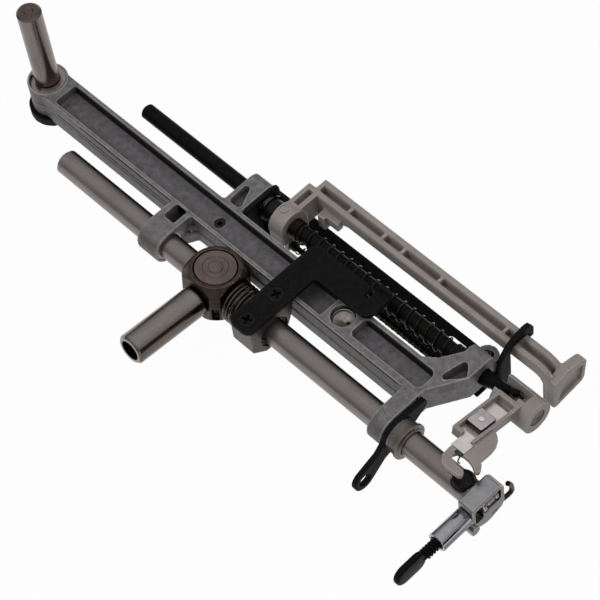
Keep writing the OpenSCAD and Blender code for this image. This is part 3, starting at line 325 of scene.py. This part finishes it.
def plate(outline, low, high):
    """A flat outline drawn up along Z between two heights."""
    bpy.ops.object.select_all(action="DESELECT")
    bpy.ops.mesh.primitive_circle_add(vertices=len(outline), fill_type="NGON")
    obj = bpy.context.object
    for vertex, (x, y) in zip(obj.data.vertices, outline):
        vertex.co = (x, y, low)
    bpy.ops.object.mode_set(mode="EDIT")
    bpy.ops.mesh.select_all(action="SELECT")
    bpy.ops.mesh.extrude_region_move(TRANSFORM_OT_translate={"value": (0, 0, high - low)})
    bpy.ops.object.mode_set(mode="OBJECT")
    return mended(obj)


def box(low, high):
    """A block between two corners."""
    (x0, y0, z0), (x1, y1, z1) = low, high
    return plate([(x0, y0), (x1, y0), (x1, y1), (x0, y1)], z0, z1)


def rounded(corners, steps=6):
    """An outline through (x, y, radius) corners, each rounded to its radius."""
    outline = []
    for i, (x, y, radius) in enumerate(corners):
        here = Vector((x, y))
        back = Vector(corners[i - 1][:2]) - here
        ahead = Vector(corners[(i + 1) % len(corners)][:2]) - here
        half = back.angle(ahead) / 2
        reach = min(radius / math.tan(half), 0.49 * back.length, 0.49 * ahead.length)
        radius = reach * math.tan(half)
        middle = (back.normalized() + ahead.normalized()).normalized()
        centre = here + middle * radius / math.sin(half)
        first = here + back.normalized() * reach - centre
        sweep = first.angle_signed(here + ahead.normalized() * reach - centre)
        for k in range(steps + 1):
            outline.append(centre + Matrix.Rotation(-sweep * k / steps, 2) @ first)
    return outline


def wire(points, thickness):
    """A round wire through points, closed at both ends."""
    curve = bpy.data.curves.new("wire", "CURVE")
    curve.dimensions = "3D"
    curve.bevel_depth = thickness / 2
    curve.bevel_resolution = 2
    curve.use_fill_caps = True
    spline = curve.splines.new("POLY")
    spline.points.add(len(points) - 1)
    for point, place in zip(spline.points, points):
        point.co = (*place, 1)
    obj = bpy.data.objects.new("wire", curve)
    bpy.context.scene.collection.objects.link(obj)
    only(obj)
    bpy.ops.object.convert(target="MESH")
    return mended(bpy.context.object)


def wound(x0, x1, y, z, radius, wire_d, loose, closed, steps=20):
    """A compression spring along X: closed turns lie at each end, loose turns between them."""
    turns = loose + 2 * closed
    close_pitch = wire_d * 1.06
    open_pitch = (x1 - x0 - wire_d - 2 * closed * close_pitch) / loose
    points = []
    for i in range(int(turns * steps) + 1):
        t = i / steps
        shut = min(t, closed) + max(0, t - closed - loose)
        x = x0 + wire_d / 2 + shut * close_pitch + min(max(t - closed, 0), loose) * open_pitch
        angle = math.tau * t
        points.append((x, y + radius * math.cos(angle), z + radius * math.sin(angle)))
    return wire(points, wire_d)


def flowing(points, steps=8):
    """A smooth run of points through a few, for bent wire."""
    points = [Vector(p) for p in points]
    last = len(points) - 1
    run = []
    for i in range(last):
        before, here, there, after = (points[max(0, min(k, last))] for k in range(i - 1, i + 3))
        for k in range(steps):
            t = k / steps
            run.append(0.5 * (2 * here + (there - before) * t
                              + (2 * before - 5 * here + 4 * there - after) * t ** 2
                              + (3 * here - before - 3 * there + after) * t ** 3))
    return run + [points[-1]]


def moved(obj, matrix):
    """Puts a shape in its place and applies that place to its mesh."""
    only(obj)
    obj.matrix_world = matrix
    bpy.ops.object.transform_apply(location=True, rotation=True, scale=True)
    return obj


def cut(obj, *cutters):
    """Takes cutters out of a shape."""
    for cutter in cutters:
        apply(obj, "BOOLEAN", operation="DIFFERENCE", object=cutter, solver="EXACT")
        bpy.data.objects.remove(cutter)
    return obj


def joined(obj, *others):
    """Several shapes as one mesh."""
    only(obj)
    for other in others:
        other.select_set(True)
    bpy.ops.object.join()
    return bpy.context.object


def bevelled(obj, width, segments=3):
    """Rounds the sharp edges."""
    return apply(obj, "BEVEL", width=width, segments=segments, limit_method="ANGLE",
                 angle_limit=math.radians(35))


def softened(node, voxel, passes):
    """A copy of a solid with its edges and corners rounded, as casting and moulding leave them."""
    obj = bpy.data.objects.new(node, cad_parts[node].data.copy())
    bpy.context.scene.collection.objects.link(obj)
    obj.data.materials.clear()
    moved(obj, Matrix.Scale(1000, 4))
    mended(obj)
    apply(obj, "REMESH", mode="VOXEL", voxel_size=voxel)
    return apply(obj, "SMOOTH", factor=0.5, iterations=passes)


def piece(obj, name, body, material, slot, *nodes):
    """Brings a finished shape to metres, dresses it, and lets it ride in place of its solids."""
    obj.name = obj.data.name = name
    moved(obj, Matrix.Scale(0.001, 4))
    bpy.ops.object.shade_smooth_by_angle(angle=math.radians(40))
    obj.data.materials.clear()
    obj.data.materials.append(material)
    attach(obj, body)
    if nodes:
        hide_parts(*nodes)
    return obj


def at(x, y, z=0.0):
    """A plain shift to a place."""
    return Matrix.Translation((x, y, z))


def turn(degrees, axis):
    """A turn about an axis through the origin."""
    return Matrix.Rotation(math.radians(degrees), 4, axis)


def along_x(x, y):
    """Turns what was built along Z to lie along X from a point."""
    return at(x, y) @ turn(90, "Y")


def along_y(x, y, z=0.0):
    """Turns what was built along Z to lie along -Y from a point."""
    return at(x, y, z) @ turn(90, "X")


def towards(start, end):
    """Turns what was built along Z to point from one place to another."""
    start, end = Vector(start), Vector(end)
    return at(*start) @ (end - start).to_track_quat("Z", "Y").to_matrix().to_4x4()


def in_head():
    """The threader head's frame: the shaft axis, turned up from level."""
    return at(0, SHAFT_Y) @ turn(-HEAD_TILT, "X")


def in_stud():
    """The stud block's frame: the bar axis, turned with the block."""
    return at(STUD_X, BAR_Y) @ turn(-STUD_TURN, "X")


# ---------------------------------------------------------------- camera, light and floor

def camera():
    """Stands where the photograph was taken from, with the same tilt and field of view."""
    azimuth, rise, roll = (math.radians(angle) for angle in (53.55, 56.35, 9.57))
    ahead = Vector((-math.sin(azimuth) * math.cos(rise), math.cos(azimuth) * math.cos(rise),
                    -math.sin(rise)))
    level = ahead.cross(Vector((0, 0, 1))).normalized()
    upright = level.cross(ahead)
    right = math.cos(roll) * level - math.sin(roll) * upright
    up = math.sin(roll) * level + math.cos(roll) * upright
    data = bpy.data.cameras.new("camera")
    data.lens, data.sensor_width = 148.5, 36
    obj = bpy.data.objects.new("camera", data)
    bpy.context.scene.collection.objects.link(obj)
    obj.matrix_world = Matrix((right, up, -ahead)).transposed().to_4x4()
    obj.location = (0.3902, -0.2149, 0.5384)
    bpy.context.scene.camera = obj


def lamp(name, place, size, watts):
    """A soft box that faces the middle of the object."""
    middle = Vector((0.09, 0, 0))
    data = bpy.data.lights.new(name, "AREA")
    data.shape, data.size, data.size_y, data.energy = "RECTANGLE", size[0], size[1], watts
    obj = bpy.data.objects.new(name, data)
    bpy.context.scene.collection.objects.link(obj)
    obj.location = place
    obj.rotation_euler = (middle - Vector(place)).to_track_quat("-Z", "Y").to_euler()
    obj.visible_camera = obj.visible_glossy = False


def sky():
    """A grey sky that is brighter overhead."""
    world = bpy.data.worlds.new("studio")
    bpy.context.scene.world = world
    world.use_nodes = True
    tree = world.node_tree
    tree.nodes.clear()
    heights = [(0.0, "#7c7c7e"), (0.3, "#9c9c9e"), (0.5, "#c6c6c7"), (0.9, "#f0f0f0")]
    direction = add(tree, "SeparateXYZ", {0: add(tree, "TexCoord").outputs["Generated"]})
    greys = add(tree, "ValToRGB", {"Fac": direction.outputs[2]},
                ramp=[(height, colour(tone)) for height, tone in heights])
    # A dark edge low at one side draws a line on round metal
    side = add(tree, "MapRange", {"Value": direction.outputs[0], 1: 0.78, 2: 0.84})
    low = add(tree, "MapRange", {"Value": direction.outputs[2], 1: 0.32, 2: 0.26})
    edge = add(tree, "Math", {0: side.outputs[0], 1: low.outputs[0]}, operation="MULTIPLY")
    both = add(tree, "Mix", {0: edge.outputs[0], 6: greys.outputs[0], 7: colour("#161413")},
               data_type="RGBA")
    back = add(tree, "Background", {"Color": both.outputs[2], "Strength": 0.92})
    add(tree, "OutputWorld", {"Surface": back.outputs[0]})


def white_floor():
    """A floor that looks white and lights the object like grey paper."""
    gap, glow_share = 0.0005, 0.975
    bpy.ops.object.select_all(action="DESELECT")
    bpy.ops.mesh.primitive_plane_add(size=6, location=(0, 0, cad_box[0].z - gap))
    floor = bpy.context.object
    floor.name = "floor"
    material = bpy.data.materials.new("white_paper_floor")
    material.use_nodes = True
    tree = material.node_tree
    tree.nodes.clear()
    paper = add(tree, "BsdfDiffuse", {"Color": colour("#b4b4b4")})
    glow = add(tree, "Emission", {"Color": WHITE, "Strength": 1.0})
    bright = add(tree, "MixShader", {0: glow_share, 1: paper.outputs[0], 2: glow.outputs[0]})
    path = add(tree, "LightPath").outputs
    seen = add(tree, "Math", {0: path["Is Camera Ray"], 1: path["Is Glossy Ray"]},
               operation="MAXIMUM")
    seen = add(tree, "Math", {0: seen.outputs[0], 1: path["Is Transmission Ray"]},
               operation="MAXIMUM")
    both = add(tree, "MixShader", {0: seen.outputs[0], 1: paper.outputs[0], 2: bright.outputs[0]})
    add(tree, "OutputMaterial", {"Surface": both.outputs[0]})
    floor.data.materials.append(material)


def studio():
    """Plain soft light, sky and floor."""
    bpy.context.scene.view_settings.view_transform = "Standard"
    lamp("key", (-0.35, -0.75, 1.0), (0.6, 0.4), 5.0)
    lamp("fill", (0.9, 0.7, 0.8), (0.4, 0.4), 1.5)
    sky()
    white_floor()


# ---------------------------------------------------------------- pieces

def castings():
    """Cast, moulded and pressed pieces whose edges are round."""
    # Thin lines run along the arm's side, and one runs round its boss
    lines = [box((x0, -5.4, low), (x1, -4.55, low + 0.55))
             for x0, x1, low in ((19, 56, 4.4), (9, 56, 1.4), (79, 141, 4.4))]
    ring = cut(turned([(0.7, 6.6), (1.15, 6.6)]), turned([(0.4, 5.45), (1.4, 5.45)]),
               box((4, -7, 0), (7, 7, 2)))
    casting = cut(softened("needle_bar_frame", 0.35, 2), *lines, ring)
    piece(casting, "frame_casting", "frame", CAST, "cast_frame", "needle_bar_frame")
    # An ejector pin has left a ring on the lever's boss
    mark = cut(turned([(4.7, 1.35), (5.6, 1.35)]), turned([(4.5, 1.15), (5.8, 1.15)]))
    lever = cut(softened("threader_lever", 0.22, 5), moved(mark, at(80.9, SHAFT_Y + 0.1)))
    piece(lever, "lever_moulding", "lever", PLASTIC, "grey_plastic", "threader_lever")
    # Webs under the shaft's finger close the head's sleeve, and its opening clears the finger's tip
    webs = [box((x0, -1.95, -2.2), (x1, 2.15, top))
            for x0, x1, top in ((161.2, 164.7, 0.4), (164.6, 166.5, 1.6))]
    head = joined(softened("threader_head", 0.14, 7),
                  *(moved(bevelled(web, 0.2), in_head()) for web in webs))
    opening = bevelled(box((166, -1.9, 1.6), (168.4, 2.1, 6)), 0.3)
    cut(head, moved(opening, in_head()))
    piece(head, "head_moulding", "shaft", PLASTIC, "grey_plastic", "threader_head")

    # A gap shows round the screws' heads; the needle stop's collar stands between the windows
    cutters = {
        "hook_plate": [moved(turned([(7.5, 2.4), (9.0, 2.4)]), at(*place)) for place in PLATE_SCREWS],
        "needle_clamp": [box((177.9, BAR_Y - 2.2, -1.7), (182, BAR_Y, 3.1))],
    }
    # Solid, voxel size and smoothing; then the piece's name, body, material and slot
    for node, voxel, passes, *dress in (
            ("threader_bracket", 0.28, 2, "bracket_sheet", "frame", BLACK_SHEET, "black_steel"),
            ("hook_plate", 0.2, 2, "hook_plate_sheet", "bar", BLACK_SHEET, "black_steel"),
            ("zigzag_lever", 0.18, 4, "zigzag_arm", "frame", BLACK_SHEET, "black_steel"),
            ("stud_block", 0.2, 2, "stud_block_body", "bar", DARK_STEEL, "dark_steel"),
            ("plate_clamp", 0.2, 3, "plate_clamp_body", "bar", CLAMP_STEEL, "ground_steel"),
            ("lower_bar_bush", 0.16, 2, "lower_bush_collar", "frame", BRONZE, "bush_bronze"),
            ("pivot_bush", 0.16, 2, "pivot_bush_turned", "frame", PALE_BRONZE, "bush_bronze"),
            ("pivot_washer", 0.24, 4, "pivot_washer_pad", "frame", FELT, "felt"),
            ("needle_clamp", 0.16, 8, "needle_clamp_yoke", "bar", SATIN_CHROME, "chrome"),
            ("bar_thread_guide", 0.14, 4, "capped_peg", "bar", BLACK_PLASTIC, "black_plastic")):
        piece(cut(softened(node, voxel, passes), *cutters.get(node, [])), *dress, node)


def springs():
    """Wound springs with closed ends; the threader's two each have a mesh of their own."""
    ends = SPRING_START + SPRING_PLAY, SPRING_END - SPRING_PLAY
    main = piece(wound(*ends, SHAFT_Y, 0, 2.62, 0.58, 17, 4), "return_coil", "frame",
                 WIRE, "spring_wire", "return_spring")
    small = piece(wound(*ends, SHAFT_Y - 1.5, -7.0, 1.2, 0.4, 28, 3), "small_coil", "frame",
                  WIRE, "spring_wire", "small_spring")
    for coil in (main, small):
        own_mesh(coil)
    piece(wound(89.32, 96.28, BAR_Y, 0, 5.45, 1.0, 2.6, 1.2, 32), "bar_coil", "bar",
          DRAWN_WIRE, "spring_wire", "bar_spring")
    # The end of a spring is looped through the frame's ear
    loop = [(149.2 + math.cos(math.tau * t), 18.7 + math.sin(math.tau * t), -1.6 + 0.55 * t)
            for t in (i / 20 for i in range(71))]
    piece(wire(loop, 0.42), "spring_end_loop", "frame", DRAWN_WIRE, "spring_wire")


def shaft_end():
    """Black threader shaft: a bar, a tenon in the head, a bent finger with a ball and a thin tip."""
    ball = 1.1
    bar = turned([(25.2, 1.75), (25.7, 2.25), (155.6, 2.25), (155.8, 2.05)])
    bar = moved(bar, along_x(0, SHAFT_Y))
    tenon = moved(turned([(155.2, 1.6), (161.1, 1.6), (161.3, 1.4)], 32), along_x(0, SHAFT_Y))
    stations = [(-0.3, 2.0), (0.1, 2.15), (1.2, 2.1), (2.6, 1.8), (4.4, 1.25), (6.2, 0.95),
                (7.6, 0.75), (8.2, 0.7)]
    for k in range(1, 9):
        angle = math.pi * (0.25 + 0.75 * k / 9)
        stations.append((9.25 - ball * math.cos(angle), ball * math.sin(angle)))
    finger = moved(turned(stations),
                   towards((154.8, SHAFT_Y, 0), (HEAD_X + 4.5, SHAFT_Y + 0.8, 2.2)))
    tip = wire([(163.6, 14.25, 2.2), (164.8, 14.25, 2.25), (166.2, 14.2, 2.3)], 0.8)
    piece(joined(bar, tenon, finger, tip), "threader_shaft_turned", "shaft", BLACK_ROD,
          "black_steel", "threader_shaft")


def turned_plug():
    """Face plug of the stud block, with the fine rings of facing it on a lathe."""
    face, pitch = 7.2, 0.38
    stations = [(5.32, 5.9), (6.6, 5.94), (7.02, 5.76), (face, 5.6)]
    for k in range(14):
        radius = 5.5 - pitch * k
        floor = face - (0.12 if k in (5, 9) else 0.06)
        stations += [(face, radius), (floor, radius - 0.1), (floor, radius - 0.18),
                     (face, radius - 0.27)]
    piece(moved(turned(stations, 64), in_stud()), "stud_face_turned", "bar", FACED_STEEL,
          "dark_steel", "stud_plug")


def stud_in_frame():
    """Stud in the frame's round hole: a rim, a shallow dish and a small hole off its centre."""
    stations = [(-3.3, 2.9), (-2.9, 3.28), (3.5, 3.28), (3.85, 3.15), (3.9, 3.0), (3.82, 2.88),
                (3.0, 2.8)]
    stations += [(3.0 - 0.07 * k, 2.8 - 0.27 * k) for k in range(1, 11)]
    hole = moved(turned([(0.5, 0.62), (5.0, 0.62)], 24), at(1.3, 0.3))
    stud = moved(cut(turned(stations, 56), hole), at(FRAME_STUD_X, 0))
    piece(stud, "frame_stud_turned", "frame", BRIGHT_STEEL, "ground_steel", "frame_stud")


def plate_screws():
    """Countersunk screws with a cross recess, one modelled and copied."""
    recess_floor, recess_top = 6.9, 9.0
    head = turned([(3.7, 0.8), (3.9, 1.0), (7.0, 1.0), (7.3, 1.3), (7.75, 1.95), (7.95, 2.2),
                   (8.05, 2.2), (8.11, 2.12), (8.13, 1.85)])
    for angle in (25, 115):
        slot = only(box((-1.8, -0.46, recess_floor), (1.8, 0.46, recess_top)))
        bpy.ops.object.mode_set(mode="EDIT")
        bpy.ops.mesh.select_all(action="DESELECT")
        bpy.ops.object.mode_set(mode="OBJECT")
        for vertex in slot.data.vertices:
            vertex.select = vertex.co.z < (recess_floor + recess_top) / 2
        bpy.ops.object.mode_set(mode="EDIT")
        bpy.ops.transform.resize(value=(0.5, 0.7, 1), center_override=(0, 0, recess_floor))
        bpy.ops.object.mode_set(mode="OBJECT")
        cut(head, moved(slot, turn(angle, "Z")))
    other = bpy.data.objects.new("screw", head.data.copy())
    bpy.context.scene.collection.objects.link(other)
    first, second = (at(*place) for place in PLATE_SCREWS)
    pair = joined(moved(head, first), moved(other, second @ Matrix.Rotation(0.7, 4, "Z")))
    piece(pair, "plate_screws_turned", "bar", SCREW_BLACK, "black_steel", "hook_plate_screws")


def clamp_fittings():
    """Sleeve, needle stop, thumb screw and bent wire of the needle clamp."""
    sleeve = turned([(1.0, 1.98), (9.9, 1.98), (10.1, 2.08), (10.18, 2.3), (10.18, 2.6),
                     (10.05, 2.74), (9.8, 2.75), (0.3, 2.75), (0.08, 2.6), (0.02, 2.4)], 64)
    piece(moved(sleeve, along_y(SLEEVE_X, -19.0)), "clamp_sleeve_turned", "bar", CHROME, "chrome",
          "clamp_sleeve")

    # The stop in the clamp's window, a grooved roller with a collar
    roller = turned([(1.9, 1.7), (1.7, 2.0), (0.9, 2.0), (0.7, 1.5), (0.4, 1.25), (0.0, 1.25),
                     (-0.2, 1.5), (-2.2, 1.5), (-2.4, 1.25), (-2.7, 1.25), (-2.9, 1.6),
                     (-3.6, 1.6), (-3.8, 1.4)], 40)
    piece(moved(roller, along_y(178.5, BAR_Y, 0.9)), "needle_stop_roller", "bar", SATIN_CHROME,
          "chrome", "needle_stop")

    # Thumb screw: a core, its thread and a flat blade
    pitch, threaded, steps = 0.95, 16, 24
    core = turned([(0, 1.1), (0.2, 1.2), (17.2, 1.2), (17.4, 1.0)], 32)
    thread = [(1.28 * math.cos(a), 1.28 * math.sin(a), 0.6 + pitch * a / math.tau)
              for a in (math.tau * i / steps for i in range(int(steps * threaded / pitch)))]
    blade = plate(rounded([(-3.2, 16.4, 2.6), (3.2, 16.4, 2.6), (3.2, 26.4, 3.1), (-3.2, 26.4, 3.1)],
                          8), -0.95, 0.95)
    blade = moved(bevelled(blade, 0.6, 4), turn(90, "X"))
    blade = moved(blade, turn(90, "Z") @ Matrix.Scale(-1, 4, (0, 1, 0)))
    screw = joined(core, wire(thread, 0.78), mended(blade))
    piece(moved(screw, along_y(SLEEVE_X, -17.3)), "thumb_screw_turned", "screw", BLACK_ROD,
          "black_steel", "thumb_screw")

    # Thread guide, bent from wire
    root = Vector((179.1, -7.6, -4.6))
    bends = [(0, -1.2, 0.1), (0, 0.6, -0.3), (0.1, 2.1, -0.3), (0.3, 3.1, 0.8), (0.3, 3.0, 3.2),
             (0.25, 2.5, 4.6), (0.2, 1.9, 5.6)]
    guide = wire(flowing([root + Vector(bend) for bend in bends]), 1.4)
    piece(guide, "thread_guide_bent", "bar", WIRE, "ground_steel", "thread_guide_hook")


def head_fittings():
    """Rivet block with round corners, the disc in the sleeve's end, and a domed rivet."""
    near, far, left, right, corner = HEAD_X + 2.85, HEAD_X + 7.95, -16.6, -10.9, 0.5
    block = plate(rounded([(near, left, corner), (far, left, corner), (far, right, corner),
                           (near, right, corner)]), 2.24, 4.5)
    piece(moved(bevelled(block, 0.25), in_head()), "hook_block_pressed", "shaft", PRESSED, "chrome",
          "hook_block")
    disc = turned([(11.84, 2.2), (11.9, 2.5), (12.2, 2.5), (12.3, 2.4), (12.3, 0.3), (12.26, 0.1)])
    piece(moved(disc, along_x(HEAD_X, SHAFT_Y)), "shaft_end_disc", "shaft", DARK_STEEL,
          "black_steel")
    dome = turned([(4.52, 1.0), (4.62, 1.0), (4.8, 0.88), (4.94, 0.62), (5.0, 0.3), (5.01, 0.05)], 32)
    piece(moved(dome, in_head() @ at(HEAD_X + 5.4, -13.7)), "hook_rivet_domed", "shaft", SHEET,
          "chrome", "hook_rivet")


def dress_solids():
    """Finishes for the solids that show as they are."""
    dressed = {
        STEEL_Z: ["pivot_pin"],
        STEEL_X: ["needle_bar"],
        BLACK_ROD: ["spring_rod"],
        STEEL_Y: ["stud_pin"],
        WIRE: ["pivot_clip", "channel_screw", "stud_set_screw"],
        BRONZE: ["upper_bar_bush"],
        BLACK_PLASTIC: ["cam_sleeve"],
        DARK_CHROME: ["shaft_ring"],
        SHEET: ["head_plate"],
        DRAWN_WIRE: ["thread_hook"],
    }
    for material, nodes in dressed.items():
        for node in nodes:
            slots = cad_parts[node].data.materials
            slots.clear()
            slots.append(material)


camera()
studio()
castings()
springs()
shaft_end()
turned_plug()
stud_in_frame()
plate_screws()
clamp_fittings()
head_fittings()
dress_solids()
